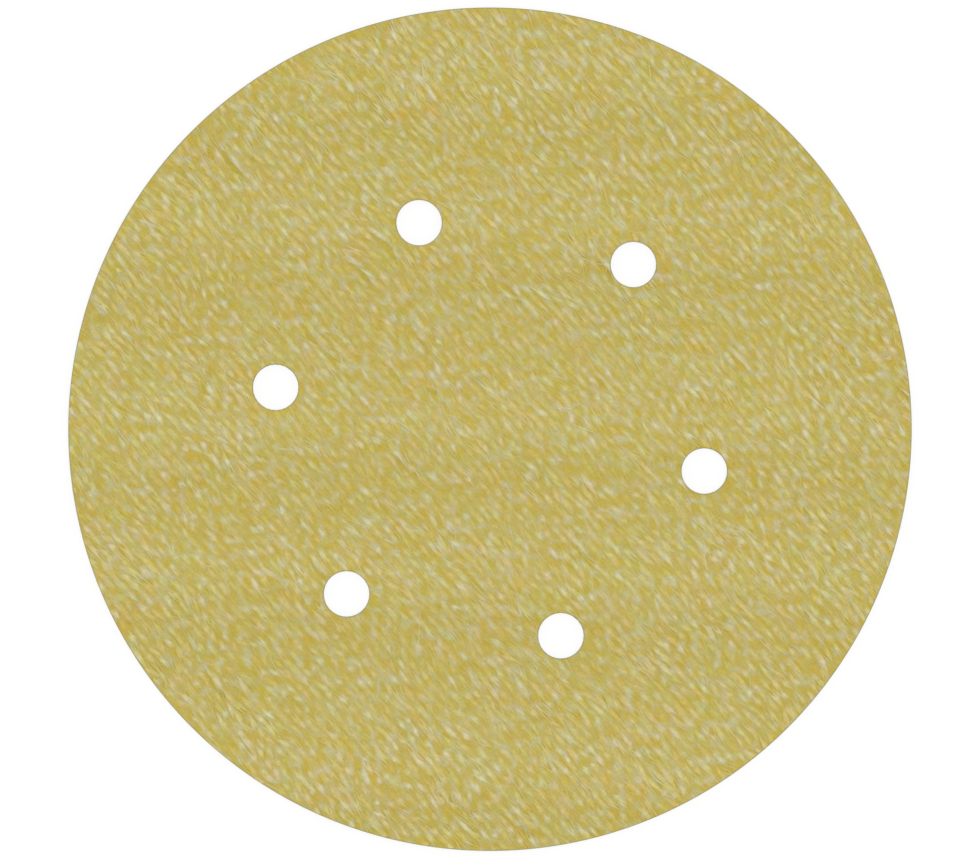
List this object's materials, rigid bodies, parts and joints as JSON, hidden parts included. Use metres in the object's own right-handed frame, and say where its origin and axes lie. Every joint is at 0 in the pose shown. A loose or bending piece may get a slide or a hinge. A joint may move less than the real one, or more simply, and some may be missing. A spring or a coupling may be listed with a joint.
{
  "type": "hook and loop sanding disc",
  "caption": "Round sanding disc: abrasive grain on a paper backing, a brushed loop cloth that grips a sander's pad, and a ring of dust holes cut through every layer.",
  "frame": {"origin": "centre of the abrasive face, which is the bottom of the disc as it lies", "axes": "+Z through the disc's thickness, out of the loop cloth; +X towards the centre of one dust hole; +Y completes a right-handed frame"},
  "size_m": [0.15, 0.15, 0.0013],
  "materials": {
    "grain_coat": "brown aluminium oxide grain set in cured resin, rough and matt",
    "backing_paper": "yellow dyed, latex-filled paper with a die-cut edge, matt",
    "loop_cloth": "gold knitted nylon with pale brushed loops, soft sheen"
  },
  "bodies": {
    "root": {"grain_coat": "grain_coat", "backing_paper": "backing_paper", "loop_cloth": "loop_cloth"}
  },
  "joints": []
}
